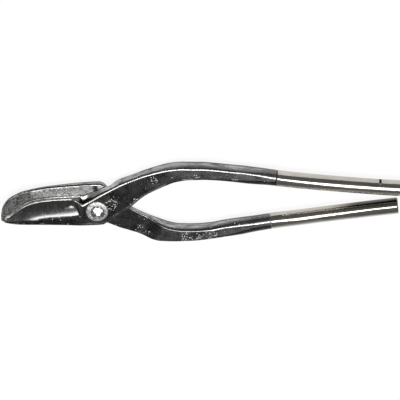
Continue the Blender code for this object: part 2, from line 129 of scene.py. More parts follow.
REAR = {
    "turned": -1.0,
    "edge": [(-72.8, 6.1), (-72.0, 7.7), (-69.6, 8.4), (-62.0, 6.7), (-54.0, 4.9), (-44.0, 3.6),
             (-30.0, 2.6), (-19.0, 2.6), (-15.0, 3.6), (-10.4, 6.4), (-6.0, 8.6), (0.0, 11.4),
             (8.0, 14.7), (16.5, 18.9), (22.4, 21.1), (28.3, 23.4), (34.2, 25.4),
             (40.1, 27.3), (48.0, 28.5), (60.0, 29.2), (72.0, 29.1), (84.0, 28.2),
             (94.0, 27.3), (106.0, 26.6), (118.0, 24.9), (134.0, 22.6)],
    "back": [(-72.8, 5.1), (-72.3, 1.4), (-71.2, -3.0), (-69.0, -7.0), (-66.0, -10.2),
             (-62.0, -12.6), (-56.0, -15.0), (-48.0, -16.6), (-36.0, -18.2), (-20.0, -19.3),
             (-8.0, -19.5), (2.4, -19.6), (5.6, -18.3), (8.0, -15.4), (11.5, -12.4),
             (16.5, -6.8), (25.0, 2.4), (31.0, 6.4), (37.7, 10.2), (43.6, 13.0), (49.5, 15.6),
             (55.4, 17.6), (63.0, 18.9), (73.4, 19.2), (84.0, 18.4), (94.0, 16.4),
             (106.0, 14.4), (118.0, 12.8), (134.0, 10.6)],
    "thick": [(-72.8, 2.0), (-66.0, 2.5), (-58.0, 3.0), (-45.0, 3.7), (-28.0, 4.4),
              (-8.0, 5.5), (0.0, HUB_THICK), (138.0, HUB_THICK)],
    "edge_thick": 2.7,
    "ridge": [(-72.8, 5.5), (-66.0, 0.5), (-49.0, -4.5), (-35.0, -6.5), (-11.0, -7.5),
              (0.0, -2.0)],
    "scoop": 0.0,
    "flare": [(-16.0, 0.0), (27.0, 0.0)],
    "shoulder": (36.0, 54.0, 0.94),
    "lead": 0.0,
    "corners": [(20.0, 0.8), (38.0, 0.9), (54.0, 2.2), (75.0, 2.8), (92.0, 4.0), (107.0, 5.2),
                (118.0, 6.0)],
    "outline": [(26.0, 0.35), (60.0, 0.5), (80.0, 0.8), (92.0, 1.8), (100.0, 3.0),
                (108.0, 4.6), (116.0, 5.6), (127.0, 6.0)],
    "tight": [(-72.0, 0.2), (20.0, 0.4), (60.0, 0.6), (90.0, 1.0), (106.0, 1.6),
              (127.0, SEAM_TIGHT)],
    "filed": [(-70.0, 0.1), (-12.0, 0.3), (30.0, 0.45), (80.0, 0.3), (100.0, 0.0)],
    "filed_low": [(-12.0, 0.05), (-3.0, 0.1), (0.0, 0.2), (3.0, 0.2), (5.0, 0.0), (40.0, 0.0),
                  (52.0, 0.2), (76.0, 0.12), (88.0, 0.25), (96.0, 0.0)],
    "pitted": [(66.0, 25.5, 5.5), (76.0, 26.0, 5.0), (86.0, 24.5, 5.0), (31.0, 18.5, 2.6),
               (36.0, 22.0, 2.4)],
    "roundness": [(119.8, 0.0), (155.0, 1.0), (176.0, 0.8), (212.0, 0.2), (226.0, 0.2)],
    "seam": 129.8,
    "seam_darkness": 0.45,
    "grip": [(118.0, 18.8), (134.0, 16.6), (151.6, 14.9), (166.7, 13.2), (181.8, 11.7),
             (196.9, 10.2), (211.9, 8.8), (228.8, 7.3)],
    "end": 225.8,
    "seed": 41.0,
}

FACE_STEPS = 26                # points across each broad face of a lever
SIDE_STEPS = 8                 # points up each side
PLATE_STEPS = 20               # points across each face of an edge plate
FINE_STEP, BLADE_STEP, ARM_STEP = 0.45, 1.0, 1.6     # spacing of a lever's sections
BLADE_STEPS_END = 30.0         # sections stand further apart from here on
GRIP_STEP = 1.5                # spacing of a grip's sections
DRILL_SEGMENTS, WASHER_SEGMENTS, RIVET_SEGMENTS = 48, 72, 96
ARM_FILL = (36.0, 70.0)        # the arms reach their full thickness between these radii
LEAD_RISE = (6.0, 14.0)        # where across the lever its shoulder's lead sets in
BLADE_TO_ARM = (-12.0, 4.0)    # corner radii change from the blade's to the arm's
SKIN = 0.08                    # how far the rough forging stays inside its drawn outline
LEDGE = 0.5                    # the hard-steel plate stands this far proud of the forging
DENT_DEPTH = 0.22              # hammer marks in the forging
SEAM_FADE = 14.0               # the hammer marks fade out this far before the seam
HANDLED = (25.0, 120.0)        # hands rub the scale lighter along this stretch
RECESS_SHADE_FADE = (30.0, 90.0)      # painted shade in the recess beside the bright edge thins out here
DULL_STRETCH = (38.0, 50.0, 78.0, 90.0)    # the lower edges are worn less in between
FACING_SHADE_RISE, FACING_SHADE_SIDE = (172.0, 196.0), (3.3, 5.1)    # painted shade where the grips face each other: along and across a grip
OUTER_KINDS = ("face", "hollow", "edge_bevel", "ledge")
SIDE_KINDS = ("side", "edge_side", "recess")
EAR_SPOT = (-0.6, -15.8)       # scale that the grinding missed; outside the front lever
# Nicks in the front hollow: place, half length, half width and depth.
NICKS = [(-19.2, 4.1, 1.9, 1.2, 0.55), (-22.6, 3.1, 0.9, 0.9, 0.30)]
# Hammer blows on the peened head: direction round it (degrees), tilt from level (degrees)
# and the distance from its middle at which the blow meets the crown's height.
BLOWS = [(90.0, 17.0, -1.6), (90.0, 46.0, 2.5), (60.0, 46.0, 2.8), (122.0, 46.0, 2.7),
         (190.0, 34.0, 0.9), (350.0, 34.0, 1.7), (232.0, 30.0, 1.6), (310.0, 26.0, 1.8),
         (270.0, 22.0, 2.2), (152.0, 40.0, 2.6), (24.0, 38.0, 2.9)]
# Dimples that the round end of the hammer left there: place, radius and depth.
DIMPLES = [(-2.4, -0.9, 1.4, 0.36), (2.9, -0.6, 1.4, 0.36), (-0.4, -3.6, 1.2, 0.16)]
# Directions of a corner's outline, in degrees from the face; a filed strip repeats its own.
CORNER_TURNS = [90.0, 80.0, 70.0, 60.0, 50.0, 40.0, 30.0, 23.0, 16.0, 16.0, 16.0, 10.0, 5.0, 0.0]


# ---------------------------------------------------------------- curves and shapes
def smoothstep(low, high, value):
    """0 at low, 1 at high, level at both ends."""
    t = min(1.0, max(0.0, (value - low) / (high - low)))
    return t * t * (3.0 - 2.0 * t)


def tangent(points, i):
    """Slope of the curve at point i, limited so that the curve never overshoots."""
    if i == 0 or i == len(points) - 1:
        j = min(i, len(points) - 2)
        return (points[j + 1][1] - points[j][1]) / (points[j + 1][0] - points[j][0])
    before = (points[i][1] - points[i - 1][1]) / (points[i][0] - points[i - 1][0])
    after = (points[i + 1][1] - points[i][1]) / (points[i + 1][0] - points[i][0])
    if before * after <= 0.0:
        return 0.0
    return 2.0 * before * after / (before + after)


def along(points, x):
    """Value at x of a smooth curve through the points (cubic, level at peaks)."""
    if x <= points[0][0]:
        return points[0][1]
    if x >= points[-1][0]:
        return points[-1][1]
    i = max(k for k in range(len(points) - 1) if points[k][0] <= x)
    (x0, y0), (x1, y1) = points[i], points[i + 1]
    span = x1 - x0
    t = (x - x0) / span
    m0 = tangent(points, i) * span
    m1 = tangent(points, i + 1) * span
    return (y0 * (2 * t**3 - 3 * t**2 + 1) + m0 * (t**3 - 2 * t**2 + t)
            + y1 * (3 * t**2 - 2 * t**3) + m1 * (t**3 - t**2))


def bow(lever, x, y):
    """Height of the blade's inner face: a function of the distance to the pivot only."""
    reach = max(0.0, math.hypot(x, y) - BOW_START) / (BOW_END - BOW_START)
    return lever["turned"] * BOW_RISE * reach**2 if x < 0.0 else 0.0


def inner_height(lever, x, y):
    """Inner face of the forging: seated on the edge steel, flat at the lap, then a shoulder."""
    level = LAP_GAP + bow(lever, x, y)
    if x < STEEL_END:
        return level + STEEL_THICK
    if x < 0.0:
        return level
    start, end, share = lever["shoulder"]
    radius = math.hypot(x, y)
    early = radius + lever["lead"] * smoothstep(*LEAD_RISE, y)
    drop = share * smoothstep(start, end, early) + (1.0 - share) * smoothstep(*ARM_FILL, radius)
    return level - drop * (ARM_HALF_HEIGHT + level)


def ridge_share(lever, x):
    """How far across the blade its ridge stands: 0 at the cutting edge, 1 at the back."""
    y_edge = along(lever["edge"], x)
    y_back = along(lever["back"], x)
    return (y_edge - along(lever["ridge"], x)) / max(0.1, y_edge - y_back)


def outer_height(lever, x, share):
    """Height of the outer face at a share (0 at the edge, 1 at the back)."""
    thick = along(lever["thick"], x)
    hub = thick + smoothstep(*HUB_TO_ARM, x) * (ARM_HALF_HEIGHT - HUB_THICK)
    if x >= SCOOP_END[1]:
        return hub
    ridge = ridge_share(lever, x)
    if share >= ridge:
        fall = SPINE_FALL * thick * ((share - ridge) / (1.0 - ridge)) ** 2
        return thick - fall * (1.0 - smoothstep(*SPINE_FADE, x))
    thin = min(lever["edge_thick"], 0.88 * thick)
    t = share / ridge
    hollow = lever["scoop"] * smoothstep(*SCOOP_START, x) * 4.0 * t * (1.0 - t) ** 0.5
    blade = thin + (thick - thin) * t - hollow * 0.55
    round_end = SCOOP_ROUND * (1.0 - t) ** 2
    return blade + (hub - blade) * smoothstep(SCOOP_END[0] - round_end,
                                              SCOOP_END[1] - round_end, x)


def face_shares(lever, x):
    """Where the points of the broad outer face stand across the lever."""
    even = [k / (FACE_STEPS - 1) for k in range(FACE_STEPS)]
    if x >= 0.0:
        return even
    ridge = ridge_share(lever, x)
    count = FACE_STEPS * 2 // 3
    rest = FACE_STEPS - count
    blade = [ridge * k / (count - 1) for k in range(count)]
    blade += [ridge + (1.0 - ridge) * (k + 1) / rest for k in range(rest)]
    mix = smoothstep(-8.0, 0.0, x)
    return [a + (b - a) * mix for a, b in zip(blade, even)]


def slope(lever, x):
    """Direction of the arm's middle line at x."""
    step = 2.0
    a = along(lever["edge"], x - step) + along(lever["back"], x - step)
    b = along(lever["edge"], x + step) + along(lever["back"], x + step)
    return (b - a) / (4.0 * step)


def lever_ring(lever, x):
    """One closed section of a lever as (x, y, z, kind, wear).

    kind names the surface for the finish; wear is 1 where hands and tools rub it bright.
    """
    y_edge = along(lever["edge"], x) - SKIN
    y_back = along(lever["back"], x) + SKIN
    width = y_edge - y_back
    blade = x < STEEL_END
    arm = smoothstep(*BLADE_TO_ARM, x)
    radius = along(lever["corners"], x)
    ridge = ridge_share(lever, x) if x < 0.0 else 0.0
    base = y_edge + along(lever["flare"], x) - (min(LEDGE, width * 0.06) if blade else 0.0)
    lean = (1.0 - arm) * min(0.85, width * 0.10)

    # Heights of the four corners, then their radii and the width filed off beside them.
    z_edge = outer_height(lever, x, 0.0) + bow(lever, x, y_edge)
    z_back = outer_height(lever, x, 1.0) + bow(lever, x, y_back)
    low_edge = inner_height(lever, x, base)
    low_back = inner_height(lever, x, y_back)
    small = width * 0.1
    tight = min(along(lever["tight"], x), radius)
    top_e = min(0.3, small) + (radius - min(0.3, small)) * arm
    top_b = min(1.2, width * 0.14)
    low_r = min(small, 0.06) if blade else 0.35 + (radius - 0.35) * smoothstep(26.0, 44.0, x)
    low_b = low_r if blade else max(low_r, 1.5 - 0.8 * smoothstep(4.0, 12.0, x))
    # Seen from the front, an arm's outline is its outer back corner on the front lever, and its
    # inner foot corner on the rear one; that corner has a radius of its own.
    at_front = lever["turned"] > 0.0
    outline = along(lever["outline"], x)
    top_b += ((outline if at_front else max(radius, 1.6)) - top_b) * arm
    foot_r = low_r if blade or at_front else min(low_r, outline)
    top_e = min(top_e, 0.5 * (z_edge - low_edge))
    top_b = min(top_b, 0.5 * (z_back - low_back))
    filed = min(along(lever["filed"], x), width * 0.16)
    filed_low = 0.0 if blade else along(lever["filed_low"], x)

    edge_corner = corner((y_edge - lean, z_edge), (1.0, 1.0), top_e, min(tight, top_e), filed,
                         "edge_bevel")
    back_corner = corner((y_back, z_back), (-1.0, 1.0), top_b, top_b, 0.0, "bevel")
    low_corner = corner((y_back, low_back), (-1.0, -1.0), low_b, min(tight, low_b), filed_low,
                        "low_bevel")
    foot_corner = corner((base, low_edge), (1.0, -1.0), foot_r, foot_r, 0.0, "bevel")

    ring = []
    first, last = edge_corner[-1][0], back_corner[-1][0]
    for share in face_shares(lever, x)[1:-1]:
        y = first + (last - first) * share
        z = outer_height(lever, x, share) + bow(lever, x, y)
        hollow = x < SCOOP_END[1] and share < ridge
        ring.append((y, z, "hollow" if hollow else "face", 0.0))
    ring += back_corner[::-1]
    ring += straight(back_corner[0], low_corner[0], SIDE_STEPS, "side")[1:-1]
    ring += low_corner
    first, last = low_corner[-1][0], foot_corner[-1][0]
    for k in range(1, FACE_STEPS):
        y = first + (last - first) * k / FACE_STEPS
        ring.append((y, inner_height(lever, x, y), "inner", 0.0))
    ring += foot_corner[::-1]
    ring += flank(foot_corner[0], edge_corner[0], x)
    ring += edge_corner

    middle = (y_edge + y_back) / 2
    tilt = slope(lever, x) * smoothstep(80.0, 120.0, x)
    return [(x - (y - middle) * tilt, y, z, kind, wear) for y, z, kind, wear in ring]


def flank(foot, head, x):
    """Edge side between its two corners, with the bright ledge at the heel of the blade."""
    spread_out = foot[0] - head[0]
    lip = (foot[0], foot[1] + min(1.1, 0.3 * (head[1] - foot[1])))
    reach = 1.0 - 0.5 * smoothstep(STEEL_END - 1.0, STEEL_END + 3.0, x)
    ledge = (head[0] + reach * spread_out, lip[1] + 0.24 * (1.0 - reach) * spread_out)
    wall = (lip[0] + 0.72 * (head[0] - lip[0]), lip[1] + 0.72 * (head[1] - lip[1]))
    at_heel = smoothstep(STEEL_END - 0.5, STEEL_END + 0.5, x) * (1.0 - smoothstep(-7.5, -1.5, x))
    knee = tuple(w + (n - w) * at_heel for w, n in zip(wall, ledge))
    points = straight(foot, lip, 2, "edge_side")[1:]
    points += straight(lip, knee, 5, "ledge" if at_heel > 0.1 else "edge_side")[1:]
    return points + straight(knee, head, 5, "recess")[1:-1]


def corner(place, out, radius, tight, filed, kind):
    """Points round a corner of the section, from its side to the start of its face.

    place is the sharp corner and out the two outward directions. The rounding has one radius
    next to the side and a tighter one next to the face, where a strip is filed flat.
    """
    y, z, walked = 0.0, 0.0, [(0.0, 0.0, 90.0)]
    for before, after in zip(CORNER_TURNS, CORNER_TURNS[1:]):
        middle = math.radians((before + after) / 2)
        if before == after:
            length = max(filed, 0.03) / 2
        else:
            length = (radius if before > 30.0 else tight) * math.radians(before - after)
        y += length * math.cos(middle)
        z += length * math.sin(middle)
        walked.append((y, z, after))
    return [(place[0] - out[0] * step, place[1] - out[1] * (z - rise), kind,
             smoothstep(0.0, 8.0, turn) * (1.0 - smoothstep(24.0, 40.0, turn)))
            for step, rise, turn in walked]


def straight(start, end, count, kind):
    """Evenly spaced points from start to end."""
    points = []
    for k in range(count):
        t = k / (count - 1)
        points.append((start[0] + (end[0] - start[0]) * t, start[1] + (end[1] - start[1]) * t,
                       kind, 0.0))
    return points


def stations(lever):
    """Section positions along a lever, closer together on the blade and at the joint."""
    tip = lever["edge"][0][0] + 0.25
    places = [tip, tip + 0.3, tip + 0.7]
    x = tip + 1.2
    while x < lever["seam"] - 1.0:
        near_step = abs(x - STEEL_END) < 1.4 or SCOOP_END[0] - 1.0 < x < SCOOP_END[1] + 1.0
        places.append(x)
        x += FINE_STEP if near_step else BLADE_STEP if x < BLADE_STEPS_END else ARM_STEP
    before = [p for p in places if p < STEEL_END - 0.2]
    after = [p for p in places if p > STEEL_END + 0.2]
    end = lever["seam"] - SEAM_GROOVE / 2
    return before + [STEEL_END - 0.02, STEEL_END + 0.02] + after + [end - 0.5, end]


# ---------------------------------------------------------------- meshes
def build(name, rows, caps, lever=None, smooth_angle=35.0, marks=None):
    """Object from rows of (x, y, z) points in mm, closed round each row, its ends capped or open.

    marks holds a list of values per name, one for each point, for the materials to read.
    """
    turned = -1.0 if lever is not None and lever["turned"] < 0.0 else 1.0
    bm = bmesh.new()
    layers = {key: bm.verts.layers.float.new(key) for key in (marks or {})}
    grid = []
    index = 0
    for row in rows:
        verts = []
        for point in row:
            vert = bm.verts.new((point[0] * MM, point[1] * turned * MM,
                                 (point[2] * turned + PIVOT_Z) * MM))
            for key, layer in layers.items():
                vert[layer] = marks[key][index]
            index += 1
            verts.append(vert)
        grid.append(verts)
    for row, following in zip(grid, grid[1:]):
        for k in range(max(len(row), len(following))):
            n = k + 1
            corners = [row[k % len(row)], row[n % len(row)],
                       following[n % len(following)], following[k % len(following)]]
            bm.faces.new(list(dict.fromkeys(corners)))
    if caps:
        bm.faces.new(grid[0][::-1])
        bm.faces.new(grid[-1])
    bmesh.ops.recalc_face_normals(bm, faces=bm.faces)
    for face in bm.faces:
        face.smooth = True
    mesh = bpy.data.meshes.new(name)
    bm.to_mesh(mesh)
    bm.free()
    mesh.set_sharp_from_angle(angle=math.radians(smooth_angle))
    item = bpy.data.objects.new(name, mesh)
    bpy.context.scene.collection.objects.link(item)
    return item


def dents(x, y, z, seed):
    """Unevenness that the hammer and the scale leave: how far a point sinks in, 0 to 1."""
    p = Vector((x, y, z))
    broad = noise.noise(p * 0.085 + Vector((seed, 0.0, 0.0)))
    fine = noise.noise(p * 0.26 + Vector((0.0, seed, 0.0)))
    tiny = noise.noise(p * 0.75 + Vector((0.0, 0.0, seed)))
    return min(1.0, max(0.0, 0.5 + 0.45 * broad + 0.3 * fine + 0.16 * tiny))


def forging(name, lever):
    """A forged lever with its hollow-ground blade, lap joint, arm and rivet hole."""
    marks = {key: [] for key in ("ground", "polish", "wear", "pitted", "flank", "handled",
                                 "shade_and_seam")}
    rows = []
    for ring in [lever_ring(lever, x) for x in stations(lever)]:
        y_middle = sum(p[1] for p in ring) / len(ring)
        row = []
        for x, y, z, kind, wear in ring:
            flat = ground_share(x, y, kind)
            hollow = 1.0 if kind == "hollow" and lever["scoop"] > 0.0 else 0.0
            marks["ground"].append(flat)
            # Towards the tip the hollow turns rougher, and its darker colour there is painted
            # shade where the tip turns from the light.
            marks["polish"].append(hollow * (0.3 + 0.7 * smoothstep(-55.0, -44.0, x)))
            if kind == "low_bevel":
                dull = smoothstep(*DULL_STRETCH[:2], x) * (1.0 - smoothstep(*DULL_STRETCH[2:], x))
                wear *= 1.0 - 0.7 * dull
            marks["wear"].append(wear if kind in ("edge_bevel", "low_bevel") else 0.0)
            marks["flank"].append(1.0 if kind in SIDE_KINDS else 0.0)
            # The bevels keep the darker, unrubbed scale: painted shade for the floor beside the
            # tool that lies in shadow.
            marks["handled"].append(0.0 if kind == "bevel" else smoothstep(*HANDLED, x))
            # The recess below the bright edge is painted near black: painted shade, fading along
            # the arm.
            marks["shade_and_seam"].append(1.0 - smoothstep(*RECESS_SHADE_FADE, x) if kind == "recess" else 0.0)
            marks["pitted"].append(max(1.0 - smoothstep(0.5 * r, r, math.hypot(x - px, y - py))
                                       for px, py, r in lever["pitted"]))
            depth = DENT_DEPTH * dents(x, y, z, lever["seed"]) * (1.0 - max(flat, hollow))
            depth *= 1.0 - smoothstep(lever["seam"] - SEAM_FADE, lever["seam"], x)
            if kind in SIDE_KINDS:
                row.append((x, y + (depth if y < y_middle else -depth), z))
            else:
                if hollow:
                    depth += sum(sink * math.exp(-((x - at_x) / long) ** 2
                                                 - ((y - at_y) / wide) ** 2)
                                 for at_x, at_y, long, wide, sink in NICKS)
                row.append((x, y, z - (depth if kind in OUTER_KINDS else -depth)))
        rows.append(row)
    item = build(name, rows, True, lever, 32.0, marks)
    drill(item, RIVET_RADIUS + BORE_GAP)
    return item


def ground_share(x, y, kind):
    """How far a point of the forging is ground bright, 0 to 1."""
    if kind == "ledge":
        return 1.0
    if kind == "edge_bevel":
        return 1.0 - smoothstep(-9.5, -7.0, x)
    if kind == "edge_side":
        heel = 0.8 * smoothstep(-9.0, -6.0, x) * (1.0 - smoothstep(10.0, 20.0, x))
        return max(1.0 - smoothstep(-15.5, -14.0, x), heel)
    if kind != "inner":
        return 0.0
    joint = max(1.0 - smoothstep(6.0, 7.5, x), 1.0 - smoothstep(11.0, 12.5, math.hypot(x, y)))
    spot = smoothstep(1.4, 2.6, math.hypot(x - EAR_SPOT[0], 0.9 * (y - EAR_SPOT[1])))
    return joint * spot


def drill(item, radius):
    """Cut the rivet hole through a lever."""
    angles = [math.tau * k / DRILL_SEGMENTS for k in range(DRILL_SEGMENTS)]
    rows = [[(radius * math.cos(a), radius * math.sin(a), z) for a in angles]
            for z in (-20.0, 20.0)]
    tool = build(item.name + "_drill", rows, True)
    cut(item, tool)


def cut(item, tool):
    """Subtract the tool from the item and drop the tool."""
    modifier = item.modifiers.new("cut", 'BOOLEAN')
    modifier.operation = 'DIFFERENCE'
    modifier.solver = 'EXACT'
    modifier.object = tool
    bpy.context.view_layer.update()
    graph = bpy.context.evaluated_depsgraph_get()
    result = bpy.data.meshes.new_from_object(item.evaluated_get(graph))
    item.modifiers.clear()
    item.data = result
    bpy.data.objects.remove(tool, do_unlink=True)


def edge_plate(name, lever):
    """Hard-steel plate on the blade's inner face, its upper edge sloped to a bright ledge."""
    rows, marks = [], {"black": [], "stain_and_shade": []}
    places = [x for x in stations(lever) if x < STEEL_END - 0.5] + [STEEL_END - 0.06]
    for x in places:
        y_edge = along(lever["edge"], x) + along(lever["flare"], x)
        width = y_edge - along(lever["back"], x)
        y_back = y_edge - width + min(0.12, width * 0.05)
        soft = min(0.10 + 0.80 * smoothstep(*SCOOP_START, x), width * 0.08)
        ledge = min(LEDGE + 0.2, width * 0.08)
        inner = [(y_back + soft + (y_edge - y_back - soft) * k / PLATE_STEPS, 0.0, 0.0)
                 for k in range(PLATE_STEPS + 1)]
        outer = [(y_edge - 0.08 * min(1.0, width / 8.0), STEEL_THICK - 0.26 * ledge, 0.0)]
        outer += [(y_edge - ledge - (y_edge - ledge - y_back) * k / PLATE_STEPS,
                   STEEL_THICK - 0.01, 1.0 if k == PLATE_STEPS else 0.0)
                  for k in range(PLATE_STEPS + 1)]
        chamfer = [(y_back, soft * 1.3, 1.0), (y_back + soft * 0.10, soft * 0.80, 1.0),
                   (y_back + soft * 0.80, soft * 0.08, 1.0),
                   (y_back + soft * 0.84, soft * 0.06, 0.2)]
        row = []
        for y, up, dark in inner + outer + chamfer:
            row.append((x, y, bow(lever, x, y) + LAP_GAP + up))
            marks["black"].append(dark)
            # Towards the tip the plate darkens: partly a stain, partly painted shade where the
            # bent tip turns from the light.
            marks["stain_and_shade"].append(1.0 - smoothstep(-50.0, -40.0, x - 0.5 * (y + 8.0)))
        rows.append(row)
    return build(name, rows, True, lever, 25.0, marks)


def grip_bar(name, lever):
    """Round bright bar that continues an arm: necked at the seam, notched, its end rounded."""
    start, end = lever["seam"], lever["end"]
    places = [(start - SEAM_GROOVE * 0.4, GRIP_RADIUS - 0.5, 1.0),
              (start + SEAM_GROOVE * 0.8, GRIP_RADIUS - 0.5, 1.0),
              (start + SEAM_GROOVE * 0.9, GRIP_RADIUS - 0.14, 0.8),
              (start + SEAM_GROOVE * 1.6, GRIP_RADIUS, 0.0)]
    x = start + GRIP_STEP
    while x < end - GRIP_END_ROUND:
        places.append((x, GRIP_RADIUS, 0.0))
        x += GRIP_STEP
    half = NOTCH_WIDTH / 2
    walls = [-half, 0.05 - half, 0.10 - half, -0.4, 0.0, 0.4, half - 0.10, half - 0.05, half]
    places = [p for p in places if abs(p[0] - NOTCH_X) > half + 0.2]
    places += [(NOTCH_X + step, GRIP_RADIUS, 0.0) for step in walls]
    for k in range(7):
        angle = math.radians(15.0 * k)
        places.append((end - GRIP_END_ROUND * (1.0 - math.sin(angle)),
                       GRIP_RADIUS - GRIP_END_ROUND * (1.0 - math.cos(angle)), 0.0))
    rows, marks = [], {"shade_and_seam": [], "facing_shade": []}
    for x, radius, dark in sorted(places):
        # How dark each lever's seam groove is coloured.
        dark *= lever["seam_darkness"]
        inside = min(1.0, (half - abs(x - NOTCH_X)) / 0.09)
        row = []
        for point, across in grip_ring(lever, x, radius):
            depth = across - (GRIP_RADIUS - NOTCH_DEPTH)
            cut_in = max(0.0, depth) * max(0.0, inside)
            row.append((point[0], point[1] - cut_in, point[2]))
            # Inside the notch the colour is painted near black as painted shade; at the seam the
            # groove is darkened by the lever's own amount.
            marks["shade_and_seam"].append(1.0 if cut_in > 0.02 else dark)
            # Painted shade on the side of the bar that faces the other grip, towards its end.
            marks["facing_shade"].append(smoothstep(*FACING_SHADE_RISE, x) * smoothstep(*FACING_SHADE_SIDE, -across))
        rows.append(row)
    for shrink in (0.66, 0.33):
        radius = (GRIP_RADIUS - GRIP_END_ROUND) * shrink
        rows.append([point for point, _ in grip_ring(lever, end, radius)])
        marks["shade_and_seam"] += [0.0] * len(rows[-1])
        marks["facing_shade"] += [0.0] * len(rows[-1])
    return build(name, rows, True, lever, marks=marks)


def grip_ring(lever, x, radius):
    """One section of a grip, square to its middle line: (point, distance across) pairs.

    It leaves the seam with nearly flat faces; "roundness" 1 makes it a full circle.
    """
    middle = along(lever["grip"], x)
    tilt = (along(lever["grip"], x + 2.0) - along(lever["grip"], x - 2.0)) / 4.0
    stretch = math.sqrt(1.0 + tilt * tilt)
    tight = SEAM_TIGHT + (GRIP_RADIUS - SEAM_TIGHT) * along(lever["roundness"], x)
    section = []
    for out, backwards in (((1, 1), False), ((-1, 1), True), ((-1, -1), False), ((1, -1), True)):
        points = corner((out[0] * GRIP_RADIUS, out[1] * GRIP_RADIUS), out, GRIP_RADIUS, tight,
                        0.0, "bar")
        section += points[:0:-1] if backwards else points[:-1]
    ring = []
    for across, height, _, _ in section:
        p = Vector((x * 0.02, across / GRIP_RADIUS, height / GRIP_RADIUS))
        hand_ground = 0.06 * (0.5 + 0.5 * noise.noise(p * 1.7 + Vector((lever["seed"], 0, 0))))
        share = (radius - hand_ground) / GRIP_RADIUS
        ring.append(((x - across * share * tilt / stretch, middle + across * share / stretch,
                      height * share), across))
    return ring


def lathe_rows(profile, segments, wobble=0.0, seed=0.0):
    """Rows of points round the pivot axis from (radius, height) pairs."""
    rows = []
    for radius, height in profile:
        if radius == 0.0:
            rows.append([(0.0, 0.0, height)])
            continue
        row = []
        for k in range(segments):
            angle = math.tau * k / segments
            p = Vector((math.cos(angle) * 1.6, math.sin(angle) * 1.6, seed + height * 0.3))
            r = radius - wobble * (0.5 + 0.5 * noise.noise(p))
            row.append((r * math.cos(angle), r * math.sin(angle), height))
        rows.append(row)
    return rows


def washer(name, side):
    """Bevelled, slightly domed washer; side is +1 at the front and -1 at the rear."""
    inner = RIVET_RADIUS + 0.2
    base = HUB_THICK + 0.02
    top = HUB_THICK + WASHER_GAP + WASHER_THICK
    profile = [(inner, base), (WASHER_RADIUS - 0.15, base)]
    rim = [(0.0, 0.15), (0.0, 0.7), (0.05, 1.0), (0.18, 1.22), (0.42, 1.36), (0.8, 1.45)]
    profile += [(WASHER_RADIUS - inset, base + height) for inset, height in rim]
    steps = 7
    flat = WASHER_RADIUS - 0.8
    for k in range(1, steps + 1):
        t = k / steps
        profile.append((flat + (inner + 0.1 - flat) * t,
                        base + 1.45 + (top - base - 1.45) * math.sin(t * math.pi / 2)))
    profile.append((inner, top - 0.1))
    profile.append(profile[0])
    rows = lathe_rows([(r, side * z) for r, z in profile], WASHER_SEGMENTS, 0.07, 5.0 * side)
    item = build(name, rows, False, smooth_angle=45.0)
    weld(item)
    return item


def weld(item):
    """Join the first and last row of a ring that closes on itself."""
    bm = bmesh.new()
    bm.from_mesh(item.data)
    bmesh.ops.remove_doubles(bm, verts=bm.verts, dist=0.001 * MM)
    bmesh.ops.recalc_face_normals(bm, faces=bm.faces)
    bm.to_mesh(item.data)
    bm.free()


def rivet(name):
    """Rivet: a hammered dome at the front and a flat head at the rear."""
    seat = HUB_THICK + WASHER_GAP + WASHER_THICK
    floor = -(seat + HEAD_GAP + REAR_HEAD_HEIGHT)
    crown = seat + HEAD_GAP + DOME_HEIGHT
    profile = [(0.0, floor), (HEAD_RADIUS - 1.6, floor), (HEAD_RADIUS - 0.7, floor + 0.02),
               (HEAD_RADIUS - 0.25, floor + 0.2), (HEAD_RADIUS, floor + 0.55),
               (HEAD_RADIUS, -seat - 0.02), (RIVET_RADIUS, -seat + 0.1), (RIVET_RADIUS, seat),
               (HEAD_RADIUS - 0.35, seat + 0.02)]
    steps = 22
    rise = crown - seat - DOME_RIM
    for k in range(steps):
        angle = math.pi / 2 * k / steps
        profile.append((HEAD_RADIUS * math.cos(angle) ** 0.8,
                        seat + DOME_RIM + rise * math.sin(angle)))
    profile.append((0.0, crown))
    rows = lathe_rows(profile, RIVET_SEGMENTS, 0.12, 9.0)
    struck = []
    for row in rows:
        new = []
        for x, y, z in row:
            if z > seat + STRUCK_RIM:
                for turn, tilt, reach in BLOWS:
                    a, t = math.radians(turn), math.tan(math.radians(tilt))
                    plane = crown - t * (x * math.cos(a) + y * math.sin(a) - reach)
                    z = min(z, max(seat + STRUCK_RIM, plane))
                for at_x, at_y, radius, depth in DIMPLES:
                    z -= depth * math.exp(-math.hypot(x - at_x, y - at_y) ** 2 / radius ** 2)
                z -= 0.16 * (0.5 + 0.5 * noise.noise(Vector((x, y, 7.0)) * 0.95))
                z = max(seat + STRUCK_RIM, z)
            if z > seat + 0.01:
                x, y = x + DOME_SHIFT[0], y + DOME_SHIFT[1]
            new.append((x, y, z))
        struck.append(new)
    return build(name, struck, False, smooth_angle=24.0)


# ---------------------------------------------------------------- materials
def new_material(name):
    """A material with its node tree and its Principled shader."""
    material = bpy.data.materials.new(name)
    material.use_nodes = True
    tree = material.node_tree
    return material, tree, tree.nodes["Principled BSDF"]


def node(tree, kind, settings=None, **inputs):
    """Add a node, set its properties, and give its inputs values or links.

    An input is named by its socket, or by i and the socket's number.
    """
    made = tree.nodes.new(kind)
    for key, value in (settings or {}).items():
        setattr(made, key, value)
    for key, value in inputs.items():
        socket = made.inputs[int(key[1:])] if key[1:].isdigit() else made.inputs[
            key.replace("_", " ")]
        if isinstance(value, bpy.types.NodeSocket):
            tree.links.new(value, socket)
        else:
            socket.default_value = value
    return made


